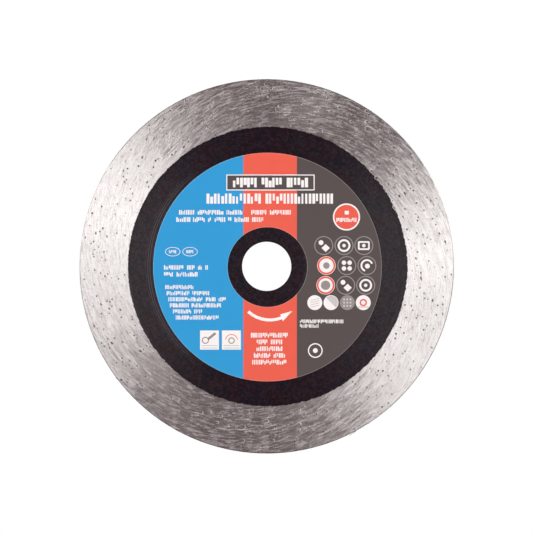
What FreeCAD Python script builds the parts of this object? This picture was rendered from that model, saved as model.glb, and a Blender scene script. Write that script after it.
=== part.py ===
import FreeCAD, Part
import Sketcher
import math
import os
import random
from itertools import permutations, product

# A continuous-rim diamond blade for a small grinder. A thin steel core with a plain bore carries a
# sintered metal-bond rim, which grips a notched tongue round the core's edge. Diamond crystals sit
# in the bond's two faces and its edge. A round label is stuck to the front of the core.
#
# The blade spins about Y. The origin is the centre of the bore, halfway through the thickness, and
# the label faces -Y. Lengths are in millimetres.

Vector = FreeCAD.Vector

DIMENSIONS = [
    ("blade_diameter", 76.0, "outside of the bond"),
    ("rim_width", 9.85, "radial width of the bond, some of it under the lacquer's edge"),
    ("rim_thickness", 1.0, "bond, face to face"),
    ("rim_edge_break", 0.1, "worn corner round the bond's outer edge"),
    ("bore_diameter", 10.0, "spindle hole"),
    ("bore_edge_break", 0.05, "deburred corner at each end of the bore"),
    ("core_thickness", 0.8, "steel core, face to face"),
    ("tongue_thickness", 0.28, "core's edge inside the bond"),
    ("tongue_width", 1.4, "how far the tongue reaches into the bond"),
    ("notch_count", 24, "dovetail notches round the tongue"),
    ("notch_depth", 1.0, "radial depth of a notch"),
    ("notch_mouth", 1.6, "width of a notch at the tongue's edge"),
    ("notch_root", 2.4, "width of a notch at its bottom"),
    ("label_diameter", 46.4, "outside of the label"),
    ("label_hole", 16.2, "hole in the label, clear of the clamping flanges"),
    ("label_shift_x", 0.15, "how far off centre the label was stuck, to the right"),
    ("label_shift_z", -0.14, "how far off centre the label was stuck, upwards"),
    ("adhesive_thickness", 0.02, "glue under the label"),
    ("film_thickness", 0.08, "printed film"),
    ("crystal_least", 0.30, "smallest crystal, corner to corner"),
    ("crystal_most", 0.43, "largest crystal, corner to corner"),
    ("crystal_proud_least", 0.03, "the least that a crystal stands out of the bond"),
    ("crystal_proud_most", 0.07, "the most that a crystal stands out of the bond"),
    ("crystal_gap", 0.48, "least distance between the centres of two crystals"),
    ("crystal_margin", 0.46, "distance of the crystals from the rim's two edges"),
    ("face_crystals", 480, "crystals that show on each face"),
    ("edge_crystals", 40, "crystals that show round the edge"),
    ("edge_crystal_reach", 0.25, "furthest centre of an edge crystal from mid-thickness"),
]

# Each group of crystals is scattered by its own seeded generator, so that it comes out the same each time.
FRONT_SEED = 76
BACK_SEED = 77
EDGE_SEED = 78

doc = FreeCAD.newDocument("diamond_blade")
sheet = doc.addObject("Spreadsheet::Sheet", "Dimensions")
for row, (alias, value, meaning) in enumerate(DIMENSIONS, start=1):
    sheet.set(f"A{row}", alias)
    sheet.set(f"B{row}", str(value))
    sheet.setAlias(f"B{row}", alias)
    sheet.set(f"C{row}", meaning)
doc.recompute()


def size(alias):
    return float(sheet.get(alias))


# Formulas that several sketches share.
BORE_RADIUS = "Dimensions.bore_diameter / 2"
BLADE_RADIUS = "Dimensions.blade_diameter / 2"
CORE_RADIUS = "(Dimensions.blade_diameter / 2 - Dimensions.rim_width)"
TONGUE_RADIUS = f"({CORE_RADIUS} + Dimensions.tongue_width)"
CORE_FACE = "Dimensions.core_thickness / 2"
TONGUE_FACE = "Dimensions.tongue_thickness / 2"
RIM_FACE = "Dimensions.rim_thickness / 2"


def new_body(name):
    body = doc.addObject("PartDesign::Body", name)
    body.Label = name
    return body


def origin_feature(body, role):
    return next(feature for feature in body.Origin.OriginFeatures if feature.Role == role)


def new_sketch(body, name, plane):
    sketch = body.newObject("Sketcher::SketchObject", name)
    sketch.AttachmentSupport = [(origin_feature(body, plane), "")]
    sketch.MapMode = "FlatFace"
    return sketch


def draw_outline(sketch, corners):
    """Draws a closed outline of straight lines. Each corner is a pair of formulas on the sheet.

    The corners start on a rough circle, and their constraints pull them into place.
    """
    count = len(corners)
    rough = [Vector(math.cos(2 * math.pi * i / count), math.sin(2 * math.pi * i / count), 0)
             for i in range(count)]
    for i in range(count):
        sketch.addGeometry(Part.LineSegment(rough[i], rough[(i + 1) % count]))
    for i in range(count):
        sketch.addConstraint(Sketcher.Constraint("Coincident", i, 2, (i + 1) % count, 1))
    for i, (across, up) in enumerate(corners):
        for kind, formula in (("DistanceX", across), ("DistanceY", up)):
            index = sketch.addConstraint(Sketcher.Constraint(kind, -1, 1, i, 1, 1.0))
            sketch.setExpression(f"Constraints[{index}]", formula)


def draw_circle(sketch, diameter):
    circle = sketch.addGeometry(Part.Circle(Vector(), Vector(0, 0, 1), 1.0))
    sketch.addConstraint(Sketcher.Constraint("Coincident", circle, 3, -1, 1))
    index = sketch.addConstraint(Sketcher.Constraint("Diameter", circle, 2.0))
    sketch.setExpression(f"Constraints[{index}]", diameter)


def revolve(body, sketch):
    """Turns an outline, drawn with the radius across and the axial distance up, about Y."""
    revolution = body.newObject("PartDesign::Revolution", body.Name + "_turned")
    revolution.Profile = sketch
    revolution.ReferenceAxis = (sketch, ["V_Axis"])
    revolution.Angle = 360
    return revolution


def make_core():
    """The steel core: a flat ring from the bore to the bond, and a thin notched tongue beyond."""
    core = new_body("steel_core")
    section = new_sketch(core, "core_section", "XY_Plane")
    draw_outline(section, [
        (BORE_RADIUS, f"-{CORE_FACE} + Dimensions.bore_edge_break"),
        (f"{BORE_RADIUS} + Dimensions.bore_edge_break", f"-{CORE_FACE}"),
        (CORE_RADIUS, f"-{CORE_FACE}"),
        (CORE_RADIUS, f"-{TONGUE_FACE}"),
        (TONGUE_RADIUS, f"-{TONGUE_FACE}"),
        (TONGUE_RADIUS, TONGUE_FACE),
        (CORE_RADIUS, TONGUE_FACE),
        (CORE_RADIUS, CORE_FACE),
        (f"{BORE_RADIUS} + Dimensions.bore_edge_break", CORE_FACE),
        (BORE_RADIUS, f"{CORE_FACE} - Dimensions.bore_edge_break"),
    ])
    revolve(core, section)

    # One notch, wider at its root than at its mouth, and drawn past the tongue's edge by its own
    # depth along the same slanted sides.
    root_radius = f"({TONGUE_RADIUS} - Dimensions.notch_depth)"
    past_edge = f"({TONGUE_RADIUS} + Dimensions.notch_depth)"
    half_root = "Dimensions.notch_root / 2"
    half_past = "(Dimensions.notch_mouth - Dimensions.notch_root / 2)"
    notch = new_sketch(core, "notch_outline", "XZ_Plane")
    draw_outline(notch, [
        (root_radius, f"-{half_root}"),
        (past_edge, f"-{half_past}"),
        (past_edge, half_past),
        (root_radius, half_root),
    ])
    pocket = core.newObject("PartDesign::Pocket", "notch")
    pocket.Profile = notch
    pocket.Type = "ThroughAll"
    pocket.Midplane = True
    doc.recompute()

    notches = core.newObject("PartDesign::PolarPattern", "notches")
    notches.Originals = [pocket]
    notches.Axis = (origin_feature(core, "Y_Axis"), [""])
    notches.Angle = 360
    notches.setExpression("Occurrences", "Dimensions.notch_count")
    core.Tip = notches
    return core


def make_bond_blank():
    """The bond as a plain ring with its outer corners broken, before anything is let into it."""
    blank = new_body("bond_blank")
    section = new_sketch(blank, "bond_section", "XY_Plane")
    draw_outline(section, [
        (CORE_RADIUS, f"-{RIM_FACE}"),
        (f"{BLADE_RADIUS} - Dimensions.rim_edge_break", f"-{RIM_FACE}"),
        (BLADE_RADIUS, f"-{RIM_FACE} + Dimensions.rim_edge_break"),
        (BLADE_RADIUS, f"{RIM_FACE} - Dimensions.rim_edge_break"),
        (f"{BLADE_RADIUS} - Dimensions.rim_edge_break", RIM_FACE),
        (CORE_RADIUS, RIM_FACE),
    ])
    revolve(blank, section)
    return blank


def make_label_layer(name, depth, thickness):
    """A flat ring on the front of the core. Its depth is from mid-thickness to its glued side."""
    layer = new_body(name)
    outline = new_sketch(layer, name + "_outline", "XZ_Plane")
    outline.setExpression("AttachmentOffset.Base.z", depth)
    draw_circle(outline, "Dimensions.label_diameter")
    draw_circle(outline, "Dimensions.label_hole")
    pad = layer.newObject("PartDesign::Pad", name + "_pad")
    pad.Profile = outline
    pad.setExpression("Length", thickness)
    layer.setExpression("Placement.Base.x", "Dimensions.label_shift_x")
    layer.setExpression("Placement.Base.z", "Dimensions.label_shift_z")
    return layer


def unit_crystal():
    """A truncated octahedron, the habit of a saw diamond, one unit from corner to corner."""
    corners = []
    for reach in permutations((0, 1, 2)):
        for signs in product((1, -1), repeat=3):
            corner = Vector(*(length * sign for length, sign in zip(reach, signs)))
            if corner not in corners:
                corners.append(corner)
    square_normals = [Vector(*axis) * sign for axis in permutations((1, 0, 0)) for sign in (1, -1)]
    normals = [Vector(*signs) for signs in product((1, -1), repeat=3)]
    for normal in square_normals:
        if normal not in normals:
            normals.append(normal)
    faces = []
    for normal in normals:
        furthest = max(corner.dot(normal) for corner in corners)
        ring = [corner for corner in corners if furthest - corner.dot(normal) < 0.5]
        middle = sum(ring, Vector()) * (1 / len(ring))
        across = (ring[0] - middle).normalize()
        up = normal.cross(across).normalize()
        ring.sort(key=lambda corner: math.atan2((corner - middle).dot(up), (corner - middle).dot(across)))
        faces.append(Part.Face(Part.makePolygon(ring + ring[:1])))
    crystal = Part.Solid(Part.Shell(faces))
    corner_to_corner = 2 * corners[0].Length
    return crystal.scaled(1 / corner_to_corner)


def seated_crystal(pattern, chance, foot, outward):
    """A crystal of random size, turned at random, that stands a little way out of the bond.

    foot is the point of the bond's surface below it, and outward is the surface's normal there.
    """
    crystal = pattern.scaled(chance.uniform(size("crystal_least"), size("crystal_most")))
    spin = FreeCAD.Rotation(*(chance.uniform(0, 360) for _ in range(3)))
    crystal.Placement = FreeCAD.Placement(Vector(), spin)
    highest = max(corner.Point.dot(outward) for corner in crystal.Vertexes)
    proud = chance.uniform(size("crystal_proud_least"), size("crystal_proud_most"))
    crystal.translate(foot + outward * (proud - highest))
    return crystal


def scatter(chance, count, draw):
    """Draws random points until it has enough that keep the least gap from each other."""
    points = []
    while len(points) < count:
        point = draw(chance)
        if all(point.distanceToPoint(other) > size("crystal_gap") for other in points):
            points.append(point)
    return points


def face_point(side):
    """Returns a function that draws a point of the bond's face, evenly over its area."""
    blade_radius = size("blade_diameter") / 2
    least = blade_radius - size("rim_width") + size("crystal_margin")
    most = blade_radius - size("crystal_margin")

    def draw(chance):
        radius = math.sqrt(chance.uniform(least ** 2, most ** 2))
        angle = chance.uniform(0, 2 * math.pi)
        return Vector(radius * math.cos(angle), side * size("rim_thickness") / 2, radius * math.sin(angle))

    return draw


def edge_point(chance):
    """Draws a point of the bond's edge, round the middle of its thickness."""
    radius = size("blade_diameter") / 2
    reach = size("edge_crystal_reach")
    angle = chance.uniform(0, 2 * math.pi)
    return Vector(radius * math.cos(angle), chance.uniform(-reach, reach), radius * math.sin(angle))


def make_grit(name, count, seed, draw, outward_at):
    """One group of separate crystals, as a compound of solids."""
    chance = random.Random(seed)
    pattern = unit_crystal()
    crystals = [seated_crystal(pattern, chance, point, outward_at(point))
                for point in scatter(chance, count, draw)]
    grit = doc.addObject("Part::Feature", name)
    grit.Label = name
    grit.Shape = Part.makeCompound(crystals)
    grit.Placement = FreeCAD.Placement()
    return grit


def radially_out(point):
    return Vector(point.x, 0, point.z).normalize()


def make_rim(blank, core, grit_groups):
    """The bond, with the core's tongue and every crystal let into it."""
    let_in = doc.addObject("Part::Compound", "let_into_bond")
    let_in.Links = [core] + grit_groups
    rim = doc.addObject("Part::Cut", "diamond_rim")
    rim.Label = "diamond_rim"
    rim.Base = blank
    rim.Tool = let_in
    rim.Refine = False
    return rim


steel_core = make_core()
grit_front = make_grit("diamond_grit_front", int(size("face_crystals")), FRONT_SEED, face_point(-1),
                       lambda point: Vector(0, -1, 0))
grit_back = make_grit("diamond_grit_back", int(size("face_crystals")), BACK_SEED, face_point(1),
                      lambda point: Vector(0, 1, 0))
grit_edge = make_grit("diamond_grit_edge", int(size("edge_crystals")), EDGE_SEED, edge_point, radially_out)
grit_groups = [grit_front, grit_back, grit_edge]
diamond_rim = make_rim(make_bond_blank(), steel_core, grit_groups)
label_adhesive = make_label_layer("label_adhesive", CORE_FACE, "Dimensions.adhesive_thickness")
label_film = make_label_layer("label_film", f"{CORE_FACE} + Dimensions.adhesive_thickness",
                              "Dimensions.film_thickness")
doc.recompute()

for feature in doc.Objects:
    if "Invalid" in feature.State or "Error" in feature.State:
        raise RuntimeError(f"{feature.Label} failed to recompute")

pieces = [steel_core, diamond_rim, *grit_groups, label_adhesive, label_film]
for piece in pieces:
    if piece.Shape.isNull() or not piece.Shape.isValid():
        raise RuntimeError(f"{piece.Label} has no valid shape")

os.makedirs("parts", exist_ok=True)
for piece in pieces:
    piece.Shape.exportStep(f"parts/{piece.Label}.step")
    print(piece.Label, len(piece.Shape.Solids), "solids", round(piece.Shape.Volume, 3), "mm3")
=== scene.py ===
import math
import random

import bmesh
import bpy
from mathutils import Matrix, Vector


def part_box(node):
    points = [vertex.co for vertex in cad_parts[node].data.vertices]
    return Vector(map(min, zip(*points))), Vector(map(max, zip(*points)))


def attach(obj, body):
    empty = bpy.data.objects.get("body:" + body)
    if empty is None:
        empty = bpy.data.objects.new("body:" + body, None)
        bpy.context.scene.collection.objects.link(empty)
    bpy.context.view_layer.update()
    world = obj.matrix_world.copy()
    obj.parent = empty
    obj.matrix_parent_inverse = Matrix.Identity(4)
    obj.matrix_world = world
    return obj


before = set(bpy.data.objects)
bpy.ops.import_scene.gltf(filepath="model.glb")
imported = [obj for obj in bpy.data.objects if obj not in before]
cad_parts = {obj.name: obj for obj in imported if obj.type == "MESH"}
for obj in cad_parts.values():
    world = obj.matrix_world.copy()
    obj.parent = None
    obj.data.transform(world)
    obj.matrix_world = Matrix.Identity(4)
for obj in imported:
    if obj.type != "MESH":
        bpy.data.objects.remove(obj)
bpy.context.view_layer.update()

# A diamond blade, held by its bore with the label facing -Y and the top of the print towards +Z.
# The blade's lengths are in millimetres, as its maker would give them, and MM turns them into
# Blender's metres. The stage's lengths are in metres.
MM = 0.001

# ------------------------------------------------------------------ sizes read from the frame


def points_of(node):
    return [vertex.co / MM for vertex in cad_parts[node].data.vertices]


def least_radius(node, centre=Vector((0, 0, 0))):
    """The radius of the hole through a ring-shaped node."""
    return min(math.hypot(point.x - centre.x, point.z - centre.z) for point in points_of(node))


rim_low, rim_high = (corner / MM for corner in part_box("diamond_rim"))
core_low, core_high = (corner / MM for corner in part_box("steel_core"))
film_low, film_high = (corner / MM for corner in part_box("label_film"))

BLADE_RADIUS = rim_high.x
RIM_INNER = least_radius("diamond_rim")
FRONT_FACE = rim_low.y
BACK_FACE = rim_high.y
LABEL_CENTRE = (film_low + film_high) / 2
LABEL_RADIUS = (film_high.x - film_low.x) / 2
LABEL_HOLE = least_radius("label_film", LABEL_CENTRE)
LABEL_FACE = film_low.y

# The grinding scratches on the rim run this far off the tangent, turned inward as they go
# anticlockwise, seen from either side.
SCRATCH_ANGLE = math.radians(13)

# The lacquer runs a little way over the bond. Its edge is where the grinding stopped: a circle of
# its own, slightly off the blade's centre.
LACQUER_EDGE = RIM_INNER + 0.22
LACQUER_EDGE_CENTRE = (0.2, -0.03)

# How far the lacquer's edge blurs, each way.
LACQUER_BLUR = 0.05

# The bond's colour turns darker between these radii, along its outside corner.
DARK_EDGE_INNER = BLADE_RADIUS - 0.22
DARK_EDGE_OUTER = BLADE_RADIUS - 0.04

# One soft patch that the grinding wheel polished less.
MISSED_PLACE = (9.0, 32.5)
MISSED_REACH = 9.0

# The plain seat round the bore fades over this width and ends at the label's hole.
SEAT_BLUR = 0.6

# Turning marks under the lacquer show as a few rings just outside the label, on its left.
RINGS_INNER = LABEL_RADIUS + 0.2
RINGS_OUTER = LABEL_RADIUS + 1.7
RING_PITCH = 0.43
RINGS_RIGHT = -12
RINGS_LEFT = -20
RINGS_FADE_IN = 0.2
RINGS_FADE_OUT = 0.9

# The label's three colour fields meet at these two upright lines, measured from its centre.
RED_LEFT = -4.9
RED_RIGHT = 5.98
FIELD_BLUR = 0.02

# The film is worn pale over these widths of its two edges, and most of all over the last width.
WORN_OUTSIDE = 0.14
WORN_HOLE = 0.12
WORN_MOST = 0.02

# ------------------------------------------------------------------ colours


def linear(red, green, blue):
    """A display colour of 0 to 255 as the linear values that a shader takes."""
    def channel(value):
        value /= 255
        return value / 12.92 if value <= 0.04045 else ((value + 0.055) / 1.055) ** 2.4
    return (channel(red), channel(green), channel(blue), 1.0)


BLUE = linear(38.3, 160.1, 221.2)
RED = linear(242.2, 97.4, 76.8)
GREY = linear(84.6, 76, 74.1)
WHITE = linear(255, 253, 251)
SILVER = linear(212.3, 208, 205.7)
MID_GREY = linear(154.7, 148, 145.8)
LACQUER = linear(23, 2, 9)
LACQUER_BLUE = linear(8, 5, 17)
LACQUER_DULL = linear(41, 27, 37)
LACQUER_WORN = linear(74, 66, 72)
DUST = linear(84, 76, 82)
BOND_LIGHT = linear(224.2, 222.4, 220.6)
BOND_DARK = linear(177, 170.7, 168.9)
BOND_SCORED = linear(141.3, 132.3, 130.5)
EDGE_METAL = linear(132.3, 125.2, 123.4)
CRYSTAL_DARK = linear(68.4, 62.8, 59.1)
CRYSTAL_LIGHT = linear(141.5, 134, 120.9)
# Painted shade of the hollow round each crystal, mottled between these two.
HOLLOW_SHADE_DARK = linear(81.5, 74, 72.2)
HOLLOW_SHADE_LIGHT = linear(141.5, 132.1, 129.3)
ADHESIVE_DARK = linear(214, 210, 200)
ADHESIVE_LIGHT = linear(232, 229, 222)
SWEEP_WHITE = linear(255, 255, 255)
SWEEP_GREY = linear(222, 223, 225)


# ------------------------------------------------------------------ material building


class Material:
    """A node material in the making. Most of its methods add nodes and return an output socket."""

    def __init__(self, name):
        self.material = bpy.data.materials.new(name)
        self.material.use_nodes = True
        self.tree = self.material.node_tree
        self.tree.nodes.clear()
        self.output = self.tree.nodes.new("ShaderNodeOutputMaterial")

    def add(self, kind, inputs=(), **settings):
        node = self.tree.nodes.new(kind)
        for key, value in settings.items():
            setattr(node, key, value)
        for key, value in dict(inputs).items():
            self.feed(node.inputs[key], value)
        return node

    def feed(self, socket, value):
        if isinstance(value, bpy.types.NodeSocket):
            self.tree.links.new(value, socket)
        else:
            socket.default_value = value

    def math(self, operation, first, second=0.0, clamp=False):
        inputs = {0: first, 1: second}
        return self.add("ShaderNodeMath", inputs, operation=operation, use_clamp=clamp).outputs[0]

    def combine(self, x, y, z):
        return self.add("ShaderNodeCombineXYZ", {0: x, 1: y, 2: z}).outputs[0]

    def place(self):
        """The point's place in millimetres, whole and as separate x, y and z."""
        metres = self.add("ShaderNodeTexCoord").outputs["Object"]
        inputs = {0: metres, 1: (1 / MM,) * 3}
        place = self.add("ShaderNodeVectorMath", inputs, operation="MULTIPLY").outputs[0]
        parts = self.add("ShaderNodeSeparateXYZ", {0: place}).outputs
        return place, parts[0], parts[1], parts[2]

    def step(self, value, low, high):
        """0 below low, 1 above high and smooth between."""
        inputs = {"Value": value, "From Min": low, "From Max": high}
        node = self.add("ShaderNodeMapRange", inputs, interpolation_type="SMOOTHSTEP")
        return node.outputs["Result"]

    def remap(self, value, low, high):
        """Turns a noise of 0 to 1 into a value from low to high."""
        inputs = {"Value": value, "To Min": low, "To Max": high}
        return self.add("ShaderNodeMapRange", inputs).outputs["Result"]

    def noise(self, vector, scale, detail, roughness=0.5):
        """A noise of 0 to 1, with about scale cells to one unit of vector."""
        inputs = {"Vector": vector, "Scale": scale, "Detail": detail, "Roughness": roughness}
        return self.add("ShaderNodeTexNoise", inputs).outputs["Fac"]

    def add_up(self, *values):
        total = values[0]
        for value in values[1:]:
            total = self.math("ADD", total, value)
        return total

    def scaled(self, value, factor):
        return self.math("MULTIPLY", value, factor)

    def distance(self, x, z, centre=(0, 0)):
        """How far the point is from an axis along Y."""
        dx = self.math("SUBTRACT", x, centre[0])
        dz = self.math("SUBTRACT", z, centre[1])
        squares = self.add_up(self.math("MULTIPLY", dx, dx), self.math("MULTIPLY", dz, dz))
        return self.math("SQRT", squares)

    def mix(self, factor, first, second):
        node = self.add("ShaderNodeMix", {0: factor, 6: first, 7: second}, data_type="RGBA")
        return node.outputs[2]

    def blend(self, factor, first, second):
        node = self.add("ShaderNodeMix", {0: factor, 2: first, 3: second}, data_type="FLOAT")
        return node.outputs[0]

    def bump(self, height, depth):
        """A bump whose height of 0 to 1 stands for depth millimetres."""
        inputs = {"Height": height, "Strength": 1.0, "Distance": depth * MM}
        return self.add("ShaderNodeBump", inputs).outputs[0]

    def principled(self, **inputs):
        named = {key.replace("_", " "): value for key, value in inputs.items()}
        return self.add("ShaderNodeBsdfPrincipled", named).outputs[0]

    def finish(self, shader):
        self.feed(self.output.inputs["Surface"], shader)
        return self.material


def polar(m, x, y, z):
    """Radius, angle and which way round: 1 where the surface faces -Y, -1 at the back."""
    radius = m.distance(x, z)
    angle = m.math("ARCTAN2", z, x)
    side = m.math("MULTIPLY", m.math("SIGN", y), -1.0)
    return radius, angle, side


def scratch_noise(m, ways, across, along, detail, roughness, offset=0.0):
    """A noise whose cells are long along the grinding scratches, with no seam.

    ways is what polar returned. across and along are the cells' sizes in millimetres, and noises
    with different offsets are unlike each other. A scratch is a line of constant swirl.
    """
    radius, angle, side = ways
    swirl = m.add_up(m.math("MULTIPLY", angle, side),
                     m.scaled(m.math("LOGARITHM", radius, math.e), 1 / math.tan(SCRATCH_ANGLE)))
    mid_radius = (BLADE_RADIUS + RIM_INNER) / 2
    turns = mid_radius * math.sin(SCRATCH_ANGLE) / across
    vector = m.combine(m.scaled(m.math("COSINE", swirl), turns),
                       m.scaled(m.math("SINE", swirl), turns),
                       m.add_up(m.scaled(radius, 1 / (along * math.sin(SCRATCH_ANGLE))), offset))
    return m.noise(vector, 1.0, detail, roughness)


def across_direction(m, x, z, radius, side, off_radial):
    """The direction off_radial radians from the radius, anticlockwise seen from the nearer side.

    It is the direction in which turned or ground metal looks roughest: across its scratches.
    """
    out_x = m.math("DIVIDE", x, radius)
    out_z = m.math("DIVIDE", z, radius)
    sine = m.math("MULTIPLY", side, m.math("SINE", off_radial))
    cosine = m.math("COSINE", off_radial)
    across_x = m.math("SUBTRACT", m.math("MULTIPLY", out_x, cosine),
                      m.math("MULTIPLY", out_z, sine))
    across_z = m.math("ADD", m.math("MULTIPLY", out_z, cosine),
                      m.math("MULTIPLY", out_x, sine))
    return m.combine(across_x, 0.0, across_z)


def lacquer_shader(m, place, x, y, z):
    """Thin black stoving lacquer over turned steel, whose rings it follows.

    The seat round the bore, inside the label's hole, isn't turned and is a little duller.
    """
    radius, _, side = polar(m, x, y, z)
    beyond_seat = m.step(radius, LABEL_HOLE - SEAT_BLUR, LABEL_HOLE)
    peel = m.noise(place, 1.8, 4.0, 0.6)
    turned = m.noise(m.combine(m.scaled(radius, 4.0), 0.0, 0.0), 1.0, 3.0, 0.7)
    dust = m.step(m.noise(place, 4.0, 2.0), 0.68, 0.76)
    cloud = m.noise(place, 0.22, 3.0)
    speckle = m.noise(place, 4.5, 2.0, 0.7)
    height = m.add_up(m.scaled(peel, 0.8), m.scaled(turned, 0.5), m.scaled(speckle, 0.7))
    turned_line = m.math("MULTIPLY", m.step(turned, 0.52, 0.68), m.step(peel, 0.42, 0.6))

    wander = m.scaled(m.noise(place, 0.35, 2.0), 1.5)
    line_place = m.add_up(m.scaled(radius, 2 * math.pi / RING_PITCH), wander)
    wave = m.math("MAXIMUM", m.math("SINE", line_place), 0.0)
    band = m.math("MULTIPLY", m.step(radius, RINGS_INNER, RINGS_INNER + RINGS_FADE_IN),
                  m.step(radius, RINGS_OUTER, RINGS_OUTER - RINGS_FADE_OUT))
    left_front = m.math("MULTIPLY", m.step(x, RINGS_RIGHT, RINGS_LEFT),
                        m.math("MAXIMUM", side, 0.0))
    rings = m.math("MULTIPLY", m.math("MULTIPLY", wave, band), left_front)

    shade = m.mix(m.step(m.noise(place, 0.4, 3.0), 0.4, 0.6), LACQUER, LACQUER_BLUE)
    colour = m.mix(m.scaled(dust, 0.4), shade, DUST)
    mottle = m.step(m.add_up(m.scaled(peel, 0.5), m.scaled(speckle, 0.5)), 0.43, 0.62)
    colour = m.mix(m.scaled(mottle, 0.8), colour, LACQUER_DULL)
    colour = m.mix(m.scaled(turned_line, 0.35), colour, LACQUER_WORN)
    colour = m.mix(rings, colour, LACQUER_WORN)
    gloss = m.math("MULTIPLY", m.remap(peel, 0.2, 0.4), m.blend(beyond_seat, 0.6, 1.0))
    return m.principled(
        Base_Color=colour,
        Roughness=m.remap(cloud, 0.34, 0.5),
        Anisotropic=m.scaled(beyond_seat, 0.75),
        Tangent=across_direction(m, x, z, radius, side, 0.0),
        Specular_IOR_Level=gloss,
        Normal=m.bump(height, 0.014),
    )


def lacquered_steel():
    m = Material("black_lacquer")
    place, x, y, z = m.place()
    return m.finish(lacquer_shader(m, place, x, y, z))


def bond_shader(m, place, x, y, z, scatter=0.0):
    """The bond's metal, ground at SCRATCH_ANGLE.

    It shines across the scratches. scatter is the share of light that it throws every way instead,
    and the sintered grain that the wheel barely touched adds to that in patches and short lines.
    """
    ways = polar(m, x, y, z)
    radius, _, side = ways
    fine = scratch_noise(m, ways, 0.08, 1.2, 2.0, 0.6)
    broad = scratch_noise(m, ways, 0.2, 2.2, 3.0, 0.65)
    patch = scratch_noise(m, ways, 1.0, 2.4, 4.0, 0.6)
    score = scratch_noise(m, ways, 0.22, 2.0, 1.0, 0.5, 40.0)
    score_again = scratch_noise(m, ways, 0.3, 2.0, 2.0, 0.5, 90.0)
    grain = m.noise(place, 3.2, 3.0, 0.65)
    speckle = m.remap(m.noise(place, 7.0, 2.0, 0.6), -0.5, 2.5)
    blotch = m.noise(place, 0.45, 3.0, 0.6)

    patchy = m.add_up(m.scaled(patch, 0.35), m.scaled(blotch, 0.4), m.scaled(grain, 0.25))
    open_patch = m.math("MULTIPLY", m.step(patchy, 0.50, 0.60), speckle, clamp=True)
    light_line = m.step(score, 0.52, 0.62)
    dark_line = m.step(score_again, 0.52, 0.66)
    missed = m.step(m.distance(x, z, MISSED_PLACE), MISSED_REACH, 0.0)

    bare = m.add_up(m.scaled(broad, 0.6), m.scaled(grain, 0.4))
    colour = m.mix(m.step(bare, 0.3, 0.55), BOND_DARK, BOND_LIGHT)
    colour = m.mix(m.scaled(dark_line, 0.2), colour, BOND_SCORED)
    # The colour darkens towards the blade's outer edge.
    colour = m.mix(m.step(radius, DARK_EDGE_INNER, DARK_EDGE_OUTER), colour, EDGE_METAL)
    height = m.add_up(m.scaled(fine, 0.5), m.scaled(broad, 0.9), m.scaled(grain, 1.2))
    wander = m.add_up(m.remap(patch, -0.1, 0.1), m.remap(broad, -0.15, 0.15),
                      m.remap(score_again, -0.45, 0.45))
    scattered = m.add_up(scatter, m.scaled(open_patch, 0.2), m.scaled(light_line, 0.32),
                         m.scaled(missed, 0.14))
    return m.principled(
        Base_Color=colour,
        Metallic=m.math("SUBTRACT", 1.0, scattered, clamp=True),
        Roughness=m.blend(open_patch, 0.33, 0.37),
        Anisotropic=m.blend(open_patch, 0.95, 0.88),
        Tangent=across_direction(m, x, z, radius, side, m.add_up(wander, SCRATCH_ANGLE)),
        Normal=m.bump(height, 0.014),
    )


def ground_bond():
    """The bond's ground faces, with lacquer left along their ragged inner edge."""
    m = Material("ground_bond")
    place, x, y, z = m.place()
    ragged = m.add_up(m.distance(x, z, LACQUER_EDGE_CENTRE),
                      m.remap(m.noise(place, 1.3, 3.0, 0.6), -0.3, 0.3),
                      m.remap(m.noise(place, 5.0, 2.0, 0.6), -0.07, 0.07))
    covered = m.step(ragged, LACQUER_EDGE + LACQUER_BLUR, LACQUER_EDGE - LACQUER_BLUR)
    inputs = {0: covered, 1: bond_shader(m, place, x, y, z), 2: lacquer_shader(m, place, x, y, z)}
    return m.finish(m.add("ShaderNodeMixShader", inputs).outputs[0])


def ridge_metal():
    """The bond's metal where a crystal shielded it from the wheel: less polished in some places."""
    m = Material("shielded_bond")
    place, x, y, z = m.place()
    scatter = m.remap(m.noise(place, 1.1, 3.0), -0.35, 1.05)
    return m.finish(bond_shader(m, place, x, y, z, scatter))


def diamond():
    m = Material("diamond")
    place = m.place()[0]
    tint = m.noise(place, 1.3, 1.0)
    colour = m.mix(m.step(tint, 0.3, 0.7), CRYSTAL_DARK, CRYSTAL_LIGHT)
    return m.finish(m.principled(
        Base_Color=colour,
        Roughness=m.remap(m.noise(place, 14.0, 2.0), 0.1, 0.35),
        IOR=1.8,
    ))


def hollow_shade():
    """Painted shade of the hollow round a crystal: a dark mottled sheet laid on the bond."""
    m = Material("hollow_shade")
    place = m.place()[0]
    grain = m.noise(place, 10.0, 3.0)
    tint = m.noise(place, 0.9, 1.0)
    mottled = m.add_up(m.step(tint, 0.3, 0.7), m.remap(grain, -0.3, 0.3))
    return m.finish(m.principled(
        Base_Color=m.mix(mottled, HOLLOW_SHADE_DARK, HOLLOW_SHADE_LIGHT),
        Roughness=m.remap(grain, 0.6, 0.9),
        Specular_IOR_Level=0.2,
        Normal=m.bump(grain, 0.01),
    ))


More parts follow.
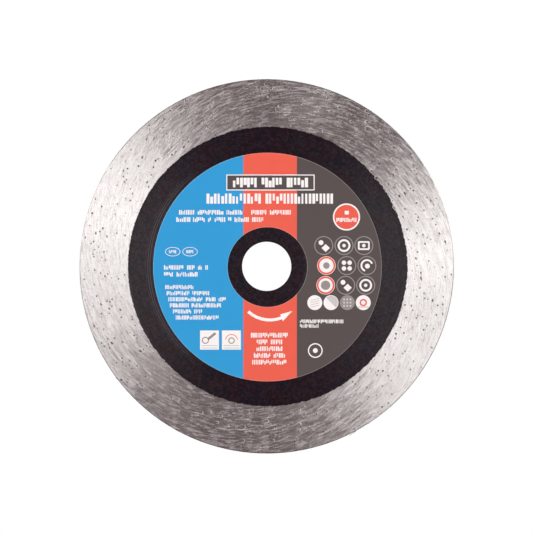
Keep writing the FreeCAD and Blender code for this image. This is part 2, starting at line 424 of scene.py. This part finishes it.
def printed_film():
    """The label: three printed colour fields on white film, whose cut edge shows white."""
    m = Material("printed_film")
    place, x, _, z = m.place()
    across = m.math("SUBTRACT", x, LABEL_CENTRE.x)
    colour = m.mix(m.step(across, RED_LEFT - FIELD_BLUR, RED_LEFT + FIELD_BLUR), BLUE, RED)
    colour = m.mix(m.step(across, RED_RIGHT - FIELD_BLUR, RED_RIGHT + FIELD_BLUR), colour, GREY)
    fibre = m.noise(place, 3.5, 4.0, 0.65)
    mottle = m.noise(place, 0.35, 2.0)
    shade = m.math("ADD", m.remap(fibre, -0.035, 0.035), m.remap(mottle, -0.02, 0.02))
    toned = m.add("ShaderNodeHueSaturation", {"Value": m.math("ADD", shade, 1.0), "Color": colour})
    normal = m.add("ShaderNodeNewGeometry").outputs["Normal"]
    facing = m.math("ABSOLUTE", m.add("ShaderNodeSeparateXYZ", {0: normal}).outputs[1])
    radius = m.distance(x, z, (LABEL_CENTRE.x, LABEL_CENTRE.z))
    worn = m.math("MAXIMUM",
                  m.step(radius, LABEL_RADIUS - WORN_OUTSIDE, LABEL_RADIUS - WORN_MOST),
                  m.step(radius, LABEL_HOLE + WORN_HOLE, LABEL_HOLE + WORN_MOST))
    edge = m.math("MAXIMUM", m.step(facing, 0.7, 0.5), m.scaled(worn, 0.24))
    return m.finish(m.principled(
        Base_Color=m.mix(edge, toned.outputs[0], WHITE),
        Roughness=m.remap(fibre, 0.42, 0.58),
        Specular_IOR_Level=0.35,
        Normal=m.bump(fibre, 0.004),
    ))


def ink(name, colour):
    """Opaque ink, a little thinner here and there, so that the film's grain shows through it."""
    m = Material(name)
    place = m.place()[0]
    grain = m.noise(place, 6.0, 3.0, 0.6)
    tone = m.add("ShaderNodeHueSaturation", {"Value": m.remap(grain, 0.95, 1.03), "Color": colour})
    return m.finish(m.principled(
        Base_Color=tone.outputs[0],
        Roughness=m.remap(grain, 0.4, 0.55),
        Specular_IOR_Level=0.35,
        Normal=m.bump(grain, 0.002),
    ))


def clear_adhesive():
    m = Material("adhesive")
    place = m.place()[0]
    cloud = m.noise(place, 1.5, 2.0)
    return m.finish(m.principled(
        Base_Color=m.mix(cloud, ADHESIVE_DARK, ADHESIVE_LIGHT),
        Roughness=m.remap(cloud, 0.3, 0.5),
    ))


# ------------------------------------------------------------------ mesh building


def add_piece(name, bm, material):
    """Turns a bmesh, in millimetres, into a piece that rides on the blade."""
    bmesh.ops.recalc_face_normals(bm, faces=bm.faces)
    bmesh.ops.scale(bm, vec=(MM, MM, MM), verts=bm.verts)
    mesh = bpy.data.meshes.new(name)
    bm.to_mesh(mesh)
    bm.free()
    mesh.materials.append(material)
    piece = bpy.data.objects.new(name, mesh)
    bpy.context.scene.collection.objects.link(piece)
    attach(piece, "root")
    return piece


def join_loops(bm, first, second):
    """A band of faces between two closed loops of as many vertices."""
    count = len(first)
    for i in range(count):
        j = (i + 1) % count
        bm.faces.new((first[i], first[j], second[j], second[i]))


def turned_loops(bm, profile, sides, place):
    """One closed loop of vertices for each radius and height of a profile.

    place turns two lengths across the axis and one along it into a point.
    """
    return [[bm.verts.new(place(radius * math.cos(2 * math.pi * i / sides),
                                radius * math.sin(2 * math.pi * i / sides), height))
             for i in range(sides)] for radius, height in profile]


def paint(node, material):
    """Gives a CAD node its material."""
    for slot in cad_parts[node].material_slots:
        slot.material = material


# ------------------------------------------------------------------ the label's print

INK_THICKNESS = 0.008
INK_BURIED = 0.004
ARC_STEP = math.radians(10)
PRINT_SEED = 3

# A bar's pitch as a share of its height, the least and most of its width as a share of the pitch,
# what it may fall short by as shares of its height, and the cut at its corners.
BAR_PITCH = 0.36
BAR_WIDTHS = (0.5, 0.8)
BAR_SHORTFALLS = (0, 0, 0, 0.25, 0.3)
BAR_CORNER = 0.05

# The print is not quite central on the label.
PRINT_CENTRE = LABEL_CENTRE + Vector((-0.1, 0, 0.08))


class Print:
    """One ink's print: flat closed shapes a few microns thick.

    Places are in millimetres from the print's centre, to the right and up.
    """

    def __init__(self):
        self.bm = bmesh.new()

    def loop(self, outline, y):
        return [self.bm.verts.new((PRINT_CENTRE.x + x, y, PRINT_CENTRE.z + z)) for x, z in outline]

    def shape(self, outline, level=0):
        """A filled shape. A higher level lies over a lower one."""
        top = self.loop(outline, LABEL_FACE - INK_THICKNESS * (level + 1))
        bottom = self.loop(outline, LABEL_FACE + INK_BURIED)
        self.bm.faces.new(top)
        self.bm.faces.new(bottom[::-1])
        join_loops(self.bm, top, bottom)

    def frame(self, outer, inner, level=0):
        """A band between two outlines that have the same number of points."""
        outer_top = self.loop(outer, LABEL_FACE - INK_THICKNESS * (level + 1))
        outer_bottom = self.loop(outer, LABEL_FACE + INK_BURIED)
        inner_top = self.loop(inner, LABEL_FACE - INK_THICKNESS * (level + 1))
        inner_bottom = self.loop(inner, LABEL_FACE + INK_BURIED)
        for first, second in ((outer_top, outer_bottom), (outer_bottom, inner_bottom),
                              (inner_bottom, inner_top), (inner_top, outer_top)):
            join_loops(self.bm, first, second)

    def box(self, x0, z0, x1, z1, corner=0.08, level=0):
        self.shape(rounded_box(x0, z0, x1, z1, corner), level)

    def box_frame(self, x0, z0, x1, z1, width, corner=0.1):
        self.frame(rounded_box(x0, z0, x1, z1, corner),
                   rounded_box(x0 + width, z0 + width, x1 - width, z1 - width, corner / 2))

    def disc(self, x, z, radius, level=0):
        self.shape(circle(x, z, radius), level)

    def ring(self, x, z, radius, width, level=0):
        self.frame(circle(x, z, radius), circle(x, z, radius - width), level)

    def arc_band(self, x, z, radius, width, start, end, level=0):
        """Part of a ring, from one angle to the other in degrees."""
        start, end = math.radians(start), math.radians(end)
        self.shape(arc(x, z, radius, start, end) + arc(x, z, radius - width, end, start), level)

    def blocks(self, chance, x0, x1, z0, z1, level=0, weight=1.0):
        """A run of plain upright bars of uneven width and height, in place of a word."""
        height = z1 - z0
        pitch = height * BAR_PITCH
        count = max(1, round((x1 - x0) / pitch))
        pitch = (x1 - x0) / count
        for i in range(count):
            left = x0 + pitch * i
            width = pitch * chance.uniform(*BAR_WIDTHS) * weight
            short = chance.choice(BAR_SHORTFALLS) * height
            low, high = chance.choice(((z0, z1 - short), (z0 + short, z1)))
            cut = min(BAR_CORNER, width / 4)
            self.shape([(left + cut, low), (left + width - cut, low), (left + width, low + cut),
                        (left + width, high - cut), (left + width - cut, high), (left + cut, high),
                        (left, high - cut), (left, low + cut)], level)

    def line(self, chance, z1, height, *runs):
        """Several runs of blocks under one top edge."""
        for x0, x1 in runs:
            self.blocks(chance, x0, x1, z1 - height, z1)


def arc(x, z, radius, start, end):
    steps = max(2, math.ceil(abs(end - start) / ARC_STEP))
    return [(x + radius * math.cos(start + (end - start) * i / steps),
             z + radius * math.sin(start + (end - start) * i / steps)) for i in range(steps + 1)]


def circle(x, z, radius):
    return arc(x, z, radius, 0, 2 * math.pi)[:-1]


def oval(x, z, half_width, half_height):
    return [(x + half_width * across, z + half_height * up) for across, up in circle(0, 0, 1)]


def rounded_box(x0, z0, x1, z1, corner):
    quarter = math.pi / 2
    return (arc(x1 - corner, z1 - corner, corner, 0, quarter)
            + arc(x0 + corner, z1 - corner, corner, quarter, 2 * quarter)
            + arc(x0 + corner, z0 + corner, corner, 2 * quarter, 3 * quarter)
            + arc(x1 - corner, z0 + corner, corner, 3 * quarter, 4 * quarter))


def rotation_arrow(white):
    """The arc arrow that shows which way the blade turns: anticlockwise, seen from the label."""
    x, z, radius, stroke = 0.6, -4.31, 6.52, 0.62
    tail, neck, tip = (math.radians(angle) for angle in (227.5, 291.2, 314))
    barb = 0.75
    outer = arc(x, z, radius + stroke / 2, tail, neck)
    inner = arc(x, z, radius - stroke / 2, neck, tail)
    head = [(x + (radius + barb) * math.cos(neck), z + (radius + barb) * math.sin(neck)),
            (x + radius * math.cos(tip), z + radius * math.sin(tip)),
            (x + (radius - barb) * math.cos(neck), z + (radius - barb) * math.sin(neck))]
    white.shape(outer + head + inner)


def print_label():
    chance = random.Random(PRINT_SEED)
    white = Print()
    silver = Print()
    red = Print()
    grey = Print()
    dark = Print()

    # A plain name plate and the title line under it.
    white.box_frame(-8.25, 15.46, 9.68, 18.7, 0.25)
    dark.box(-8.05, 15.66, 9.48, 18.5)
    for x0, x1 in ((-6.9, -1.9), (-1.1, 3.2), (4.0, 8.4)):
        white.blocks(chance, x0, x1, 16.1, 18.05, level=1, weight=1.2)
    white.line(chance, 14.83, 2.05, (-12.27, -1.0), (-0.3, 13.6))

    # Two lines of working data.
    white.line(chance, 11.5, 0.95, (-17.85, -14.65), (-14.05, -8.75), (-8.2, -4.9), (-3.2, 0.0),
               (0.6, 4.92))
    white.line(chance, 10.05, 0.98, (-18.4, -15.45), (-15.0, -12.55), (-11.95, -11.25),
               (-10.6, -8.35), (-7.9, -7.1), (-6.6, -3.6), (-3.03, -0.6))

    # Two ovals, and the small print on the blue field.
    for x in (-19.12, -15.61):
        z = 3.04
        white.frame(oval(x, z, 1.54, 0.93), oval(x, z, 1.44, 0.83))
        white.blocks(chance, x - 0.75, x + 0.75, z - 0.34, z + 0.34)
    white.line(chance, 0.3, 0.93, (-20.9, -16.9), (-16.2, -14.6), (-14.0, -13.15), (-12.5, -11.87))
    white.line(chance, -1.1, 0.92, (-20.9, -19.0), (-18.35, -14.0))
    runs = (((-20.65, -14.82),),
            ((-20.35, -15.63), (-15.16, -11.67)),
            ((-20.0, -12.99), (-12.4, -10.3), (-9.8, -8.3)),
            ((-19.7, -15.75), (-15.3, -9.25)),
            ((-19.07, -15.24), (-14.77, -13.08)),
            ((-18.5, -9.7),))
    for i, row in enumerate(runs):
        white.line(chance, -3.72 - 1.235 * i, 0.86, *row)

    # Two plain picture squares.
    for x in (-13.58, -9.14):
        white.box(x, -16.84, x + 3.85, -12.95)
        silver.box(x + 0.3, -16.1, x + 3.55, -15.95, 0.05, level=1)
        silver.box(x + 0.3, -16.6, x + 3.55, -16.45, 0.05, level=1)
    grey.ring(-12.5, -14.95, 0.72, 0.2, level=1)
    grey.shape([(-12.1, -14.5), (-10.6, -13.3), (-10.3, -13.7), (-11.8, -14.9)], level=1)
    grey.ring(-7.2, -15.0, 0.66, 0.2, level=1)
    red.arc_band(-7.2, -15.0, 1.3, 0.14, 10, 170, level=1)

    rotation_arrow(white)
    stripe = (((-3.27, 4.33),),
              ((-2.07, 0.22), (0.78, 3.21)),
              ((-2.14, 3.21),),
              ((-2.66, 0.78), (1.35, 3.78)),
              ((-2.99, 4.06),))
    for i, row in enumerate(stripe):
        white.line(chance, -13.42 - 1.37 * i, 0.98, *row)

    # A round badge on the grey field.
    x, z = 16.14, 10.08
    white.disc(x, z, 2.76)
    red.disc(x, z, 2.46, level=1)
    white.box(x - 0.38, z + 0.5, x + 0.48, z + 1.25, level=2)
    white.blocks(chance, x - 2.05, x + 2.1, z - 1.02, z - 0.16, level=2)

    # Three rows of rings with plain marks. Two places hold a red-ringed disc instead.
    rows = ((4.28, (11.52, dot_and_square), (15.64, dot_in_ring), (19.66, dot_in_box)),
            (0.22, (16.2, four_dots), (20.28, dot_in_arc)),
            (-3.78, (15.98, dot_and_square), (20.04, dot_in_ring)))
    for z, *marks in rows:
        for x, mark in marks:
            grey.ring(x, z, 1.92, 0.19)
            mark(white, x, z)
    for x, z, spot in ((12.06, 0.22, 0.65), (11.9, -3.78, 0.95)):
        white.disc(x, z, 1.88)
        red.ring(x, z, 1.8, 0.36, level=1)
        grey.disc(x, z, spot, level=1)

    # A row of discs: one with slanted lines, a halved one, one with dots and a ringed one.
    z = -7.3
    lined, halved, dotted, ringed = 9.71, 13.0, 16.3, 19.55
    for x, colour in ((lined, white), (halved, white), (dotted, grey), (ringed, white)):
        colour.disc(x, z, 1.52)
    for offset in (-0.7, -0.25, 0.2, 0.65):
        left, right = lined - 0.9, lined + 0.9
        silver.shape([(left, z + offset - 0.3), (right, z + offset + 0.12),
                      (right, z + offset + 0.26), (left, z + offset - 0.16)], level=1)
    silver.shape(arc(halved, z, 1.4, -math.pi / 4, 3 * math.pi / 4), level=1)
    for dx in (-0.65, 0, 0.65):
        for dz in (-0.65, 0, 0.65):
            silver.disc(dotted + dx, z + dz, 0.2, level=1)
    red.ring(ringed, z, 0.75, 0.3, level=1)
    silver.box(ringed - 1.1, z - 1.0, ringed + 1.1, z - 0.8, level=1)

    # Two lines low on the grey field, and a small ring with a dot.
    white.line(chance, -10.72, 0.78, (6.7, 15.64))
    white.line(chance, -11.68, 0.74, (6.7, 10.6))
    x, z = 9.81, -17.02
    white.ring(x, z, 1.5, 0.24)
    white.disc(x, z, 0.5)

    for name, done, colour in (("print_white", white, WHITE), ("print_silver", silver, SILVER),
                               ("print_red", red, RED), ("print_grey", grey, MID_GREY),
                               ("print_dark", dark, GREY)):
        add_piece(name, done.bm, ink("ink_" + name, colour))


def dot_and_square(done, x, z):
    done.disc(x - 0.55, z + 0.6, 0.5)
    done.shape([(x - 0.45, z - 0.5), (x + 0.4, z - 1.3), (x + 1.25, z - 0.5), (x + 0.4, z + 0.3)])


def dot_in_ring(done, x, z):
    done.ring(x, z, 1.3, 0.4)
    done.disc(x, z, 0.36)


def dot_in_box(done, x, z):
    done.box_frame(x - 1.2, z - 0.9, x + 1.2, z + 0.9, 0.34, 0.3)
    done.disc(x, z, 0.36)


def four_dots(done, x, z):
    for dx, dz in ((-0.58, -0.58), (-0.58, 0.58), (0.58, -0.58), (0.58, 0.58)):
        done.disc(x + dx, z + dz, 0.46)


def dot_in_arc(done, x, z):
    done.arc_band(x, z, 1.3, 0.38, 20, 250)
    done.disc(x + 0.1, z - 0.1, 0.5)


# ------------------------------------------------------------------ the bond round each crystal

HAIRPIN_LEG_STEPS = 4
HAIRPIN_HEAD_STEPS = 6
# The legs' ends come this share of the head's size nearer to each other, and narrow to this share.
HAIRPIN_CLOSING = 0.35
HAIRPIN_END_WIDTH = 0.4
RIDGE_HALF_WIDTH = 0.06
RIDGE_BURIED = 0.02
LEAST_HEIGHT = 0.001
HOLLOW_SIDES = 12
HOLLOW_HEIGHT = 0.004
HOLLOW_TOP = 0.7

# A draw of 0 to 1 gives a crystal a long hairpin below the first share, and a short one below the
# second. Another gives it a dark patch of painted hollow shade below the third.
LONG_HAIRPIN = 0.24
SHORT_HAIRPIN = 0.54
WITH_HOLLOW = 0.85

# The least and most of a hairpin's reach behind its crystal, its head's radius and its height.
LONG_HAIRPIN_SIZES = ((0.7, 2.0), (0.28, 0.5), (0.002, 0.007))
SHORT_HAIRPIN_SIZES = ((0.1, 0.4), (0.2, 0.3), (0.003, 0.010))

# How many times its own radius a hollow may stretch behind its crystal, the least and most of that
# radius, and the least and most share of it that each point of the outline keeps.
HOLLOW_TAILS = (0.0, 0.1, 0.2, 0.8, 1.6)
HOLLOW_RADII = (0.12, 0.20)
HOLLOW_UNEVENNESS = (0.8, 1.15)

FILLET_WIDTH = 0.45
FILLET_STEPS = 5
FILLET_SIDES = 360
FILLET_RISE = 0.9
FILLET_OVERLAP = 0.004
FILLET_BURIED = 0.002

# Crystals' vertices nearer than this, in metres, are one.
WELD_DISTANCE = 1e-7


def crystal_places(node):
    """The centre of each crystal of a group, found as the mesh's separate islands."""
    bm = bmesh.new()
    bm.from_mesh(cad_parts[node].data)
    bmesh.ops.remove_doubles(bm, verts=bm.verts, dist=WELD_DISTANCE)
    unseen = set(bm.verts)
    places = []
    while unseen:
        first = next(vertex for vertex in bm.verts if vertex in unseen)
        island = {first}
        to_visit = [first]
        while to_visit:
            vertex = to_visit.pop()
            for edge in vertex.link_edges:
                other = edge.other_vert(vertex)
                if other not in island:
                    island.add(other)
                    to_visit.append(other)
        unseen -= island
        places.append(sum((vertex.co for vertex in island), Vector()) / len(island) / MM)
    bm.free()
    return places


def ways_on_face(place, face):
    """Along the scratches away from the grinding, across them, and out of the face."""
    side = -1 if face > 0 else 1
    outward = Vector((place.x, 0, place.z)).normalized()
    clockwise = Vector((outward.z, 0, -outward.x)) * side
    behind = clockwise * math.cos(SCRATCH_ANGLE) + outward * math.sin(SCRATCH_ANGLE)
    across = Vector((-behind.z, 0, behind.x))
    return behind, across, Vector((0, -side, 0))


def add_hairpin(bm, place, face, reach, head, height):
    """A low hairpin ridge of bond round a crystal: closed ahead of it, and fading out behind it.

    The grinding wheel passed anticlockwise, so the two legs trail clockwise along the scratches.
    """
    behind, across, up = ways_on_face(place, face)
    foot = Vector((place.x, face, place.z))

    def leg_point(sideways, share):
        closed = head * (1 - HAIRPIN_CLOSING * share)
        return behind * (reach * share) + sideways * closed, sideways, 1 - share

    # The ridge's line, from one leg's end round the head to the other's, as the offset from the
    # foot, the sideways direction and how much of the full height is left.
    line = [leg_point(across, 1 - i / HAIRPIN_LEG_STEPS) for i in range(HAIRPIN_LEG_STEPS)]
    for i in range(HAIRPIN_HEAD_STEPS + 1):
        turn = math.pi * i / HAIRPIN_HEAD_STEPS
        outwards = across * math.cos(turn) - behind * math.sin(turn)
        line.append((outwards * head, outwards, 1.0))
    line += [leg_point(-across, (i + 1) / HAIRPIN_LEG_STEPS) for i in range(HAIRPIN_LEG_STEPS)]

    sections = []
    for offset, sideways, strength in line:
        crest = foot + offset
        half = RIDGE_HALF_WIDTH * (HAIRPIN_END_WIDTH + (1 - HAIRPIN_END_WIDTH) * strength)
        sections.append([bm.verts.new(point) for point in (
            crest + sideways * half,
            crest + up * (height * strength + LEAST_HEIGHT),
            crest - sideways * half,
            crest - sideways * half - up * RIDGE_BURIED,
            crest + sideways * half - up * RIDGE_BURIED,
        )])
    for first, second in zip(sections, sections[1:]):
        join_loops(bm, first, second)
    bm.faces.new(sections[0])
    bm.faces.new(sections[-1])


def add_hollow(bm, place, face, radius, tail, chance):
    """A thin uneven dark patch of painted shade round a crystal, drawn out behind it by tail."""
    behind, across, up = ways_on_face(place, face)
    foot = Vector((place.x, face, place.z))
    outline = []
    for i in range(HOLLOW_SIDES):
        turn = 2 * math.pi * i / HOLLOW_SIDES
        reach = radius * chance.uniform(*HOLLOW_UNEVENNESS)
        stretch = 1 + tail * max(0, math.cos(turn))
        outline.append(behind * (reach * stretch * math.cos(turn))
                       + across * (reach * math.sin(turn)))
    lifts = ((-RIDGE_BURIED, 1.0), (LEAST_HEIGHT, 1.0), (HOLLOW_HEIGHT, HOLLOW_TOP))
    loops = [[bm.verts.new(foot + offset * share + up * lift) for offset in outline]
             for lift, share in lifts]
    for lower, upper in zip(loops, loops[1:]):
        join_loops(bm, lower, upper)
    bm.faces.new(loops[0])
    bm.faces.new(loops[-1])


def make_crystal_surrounds(side, node, face, seed, ridge_material, hollow_material):
    """The ridges of bond and the dark patches of painted hollow shade round one face's crystals."""
    chance = random.Random(seed)
    ridges = bmesh.new()
    hollows = bmesh.new()
    for place in crystal_places(node):
        kind = chance.random()
        if kind < LONG_HAIRPIN:
            add_hairpin(ridges, place, face,
                        *(chance.uniform(*sizes) for sizes in LONG_HAIRPIN_SIZES))
        elif kind < SHORT_HAIRPIN:
            add_hairpin(ridges, place, face,
                        *(chance.uniform(*sizes) for sizes in SHORT_HAIRPIN_SIZES))
        # Most crystals get a dark patch of painted shade where their hollow would be.
        if chance.random() < WITH_HOLLOW:
            tail = chance.choice(HOLLOW_TAILS)
            add_hollow(hollows, place, face, chance.uniform(*HOLLOW_RADII), tail, chance)
    add_piece("bond_ridges_" + side, ridges, ridge_material)
    add_piece("crystal_hollow_shade_" + side, hollows, hollow_material)


def make_fillet(name, core_face, rim_face, material):
    """Lacquer gathered in the corner where the core meets the thicker rim."""
    out = math.copysign(1, rim_face)
    top = abs(rim_face - core_face) * FILLET_RISE
    buried = core_face - out * FILLET_BURIED
    profile = [(RIM_INNER - FILLET_WIDTH, buried)]
    for i in range(1, FILLET_STEPS + 1):
        share = i / FILLET_STEPS
        profile.append((RIM_INNER - FILLET_WIDTH * (1 - share), core_face + out * top * share ** 2))
    profile.append((RIM_INNER + FILLET_OVERLAP, core_face + out * top))
    profile.append((RIM_INNER + FILLET_OVERLAP, buried))
    bm = bmesh.new()
    loops = turned_loops(bm, profile, FILLET_SIDES, lambda x, z, y: (x, y, z))
    for first, second in zip(loops, loops[1:] + loops[:1]):
        join_loops(bm, first, second)
    piece = add_piece(name, bm, material)
    for polygon in piece.data.polygons:
        polygon.use_smooth = True


# ------------------------------------------------------------------ the stage

# The sweep's sizes, in metres. It is closed over by small caps at its axis.
FLOOR_Z = -0.3
FLOOR_RADIUS = 0.9
SWEEP_CURVE = 0.5
WALL_HEIGHT = 1.6
CAP_RADIUS = 0.1
SWEEP_STEPS = 8
SWEEP_SIDES = 64

# The sweep is white within the first angle of straight behind the blade, and grey past the second.
WHITE_WITHIN = math.radians(18)
GREY_BEYOND = math.radians(34)

# Each face's softboxes, one of each kind on the right and one on the left: degrees to the side and
# up, width and height in metres, and radiance.
SOFTBOXES = {"inner": (24, -5, 0.19, 0.36, 2.72),
             "outer": (64, 18, 0.72, 0.36, 3.45)}
SOFTBOX_DISTANCE = 0.6

AMBIENT_COLOUR = (1.0, 0.73, 0.76, 1)
AMBIENT_STRENGTH = 0.179


def sweep_white():
    """White behind the blade as the label's side sees it, and pale grey all round the rest."""
    m = Material("sweep_white")
    _, x, y, z = m.place()
    off_axis = m.math("ARCTAN2", m.distance(x, z), y)
    shade = m.mix(m.step(off_axis, WHITE_WITHIN, GREY_BEYOND), SWEEP_WHITE, SWEEP_GREY)
    glow = m.add("ShaderNodeEmission", {"Color": shade, "Strength": 1.0})
    return m.finish(glow.outputs[0])


def make_stage():
    """A seamless pale sweep: a round floor that curves up into a wall all round, with a ceiling."""
    profile = [(CAP_RADIUS, FLOOR_Z), (FLOOR_RADIUS, FLOOR_Z)]
    for i in range(1, SWEEP_STEPS + 1):
        turn = math.pi / 2 * i / SWEEP_STEPS
        profile.append((FLOOR_RADIUS + SWEEP_CURVE * math.sin(turn),
                        FLOOR_Z + SWEEP_CURVE * (1 - math.cos(turn))))
    ceiling = FLOOR_Z + SWEEP_CURVE + WALL_HEIGHT
    profile += [(FLOOR_RADIUS + SWEEP_CURVE, ceiling), (CAP_RADIUS, ceiling)]
    bm = bmesh.new()
    loops = turned_loops(bm, profile, SWEEP_SIDES, lambda x, y, z: (x, y, z))
    for lower, upper in zip(loops, loops[1:]):
        join_loops(bm, lower, upper)
    bm.faces.new(loops[0])
    bm.faces.new(loops[-1])
    mesh = bpy.data.meshes.new("sweep")
    bm.to_mesh(mesh)
    bm.free()
    mesh.materials.append(sweep_white())
    sweep = bpy.data.objects.new("sweep", mesh)
    bpy.context.scene.collection.objects.link(sweep)
    sweep.visible_diffuse = False
    sweep.visible_glossy = False
    sweep.visible_transmission = False
    sweep.visible_shadow = False


def softbox(name, azimuth, elevation, width, height, radiance):
    """A soft light that faces the blade. Azimuth 0 is in front of the label and 90 at its right."""
    data = bpy.data.lights.new(name, "AREA")
    data.shape = "RECTANGLE"
    data.size = width
    data.size_y = height
    data.energy = radiance * math.pi * width * height
    light = bpy.data.objects.new(name, data)
    turn, rise = math.radians(azimuth), math.radians(elevation)
    towards = Vector((math.sin(turn) * math.cos(rise), -math.cos(turn) * math.cos(rise),
                      math.sin(rise)))
    light.location = towards * SOFTBOX_DISTANCE
    light.rotation_mode = "QUATERNION"
    light.rotation_quaternion = towards.to_track_quat("Z", "Y")
    bpy.context.scene.collection.objects.link(light)


def light_studio():
    for side, sign in (("right", 1), ("left", -1)):
        for kind, (azimuth, *settings) in SOFTBOXES.items():
            softbox(kind + "_front_" + side, sign * azimuth, *settings)
            softbox(kind + "_back_" + side, sign * (180 - azimuth), *settings)
    world = bpy.data.worlds.new("studio")
    bpy.context.scene.world = world
    world.use_nodes = True
    background = world.node_tree.nodes["Background"]
    background.inputs["Color"].default_value = AMBIENT_COLOUR
    background.inputs["Strength"].default_value = AMBIENT_STRENGTH
    bpy.context.scene.view_settings.view_transform = "Standard"


def make_camera():
    """Square on to the label, far enough back to flatten the view.

    view_width is what the picture spans at the rim's face. The camera stands a little off the
    blade's axis, as in the photograph.
    """
    lens, sensor, view_width = 135.0, 36.0, 108.17
    off_right, off_up = -0.04, -0.03
    data = bpy.data.cameras.new("camera")
    data.lens = lens
    data.sensor_width = sensor
    camera = bpy.data.objects.new("camera", data)
    distance = view_width * lens / sensor
    camera.location = Vector((off_right, FRONT_FACE - distance, off_up)) * MM
    camera.rotation_euler = (math.pi / 2, 0, 0)
    data.clip_start = 0.05
    data.clip_end = 10
    bpy.context.scene.collection.objects.link(camera)
    bpy.context.scene.camera = camera


# ------------------------------------------------------------------ putting it together

lacquer = lacquered_steel()
paint("steel_core", lacquer)
make_fillet("lacquer_fillet_front", core_low.y, FRONT_FACE, lacquer)
make_fillet("lacquer_fillet_back", core_high.y, BACK_FACE, lacquer)
paint("diamond_rim", ground_bond())
crystal = diamond()
for group in ("diamond_grit_front", "diamond_grit_back", "diamond_grit_edge"):
    paint(group, crystal)
paint("label_film", printed_film())
paint("label_adhesive", clear_adhesive())
print_label()
shielded = ridge_metal()
# Dark sheets of painted shade stand for the hollows round the crystals.
painted_hollow_shade = hollow_shade()
make_crystal_surrounds("front", "diamond_grit_front", FRONT_FACE, 11, shielded, painted_hollow_shade)
make_crystal_surrounds("back", "diamond_grit_back", BACK_FACE, 12, shielded, painted_hollow_shade)

make_stage()
light_studio()
make_camera()
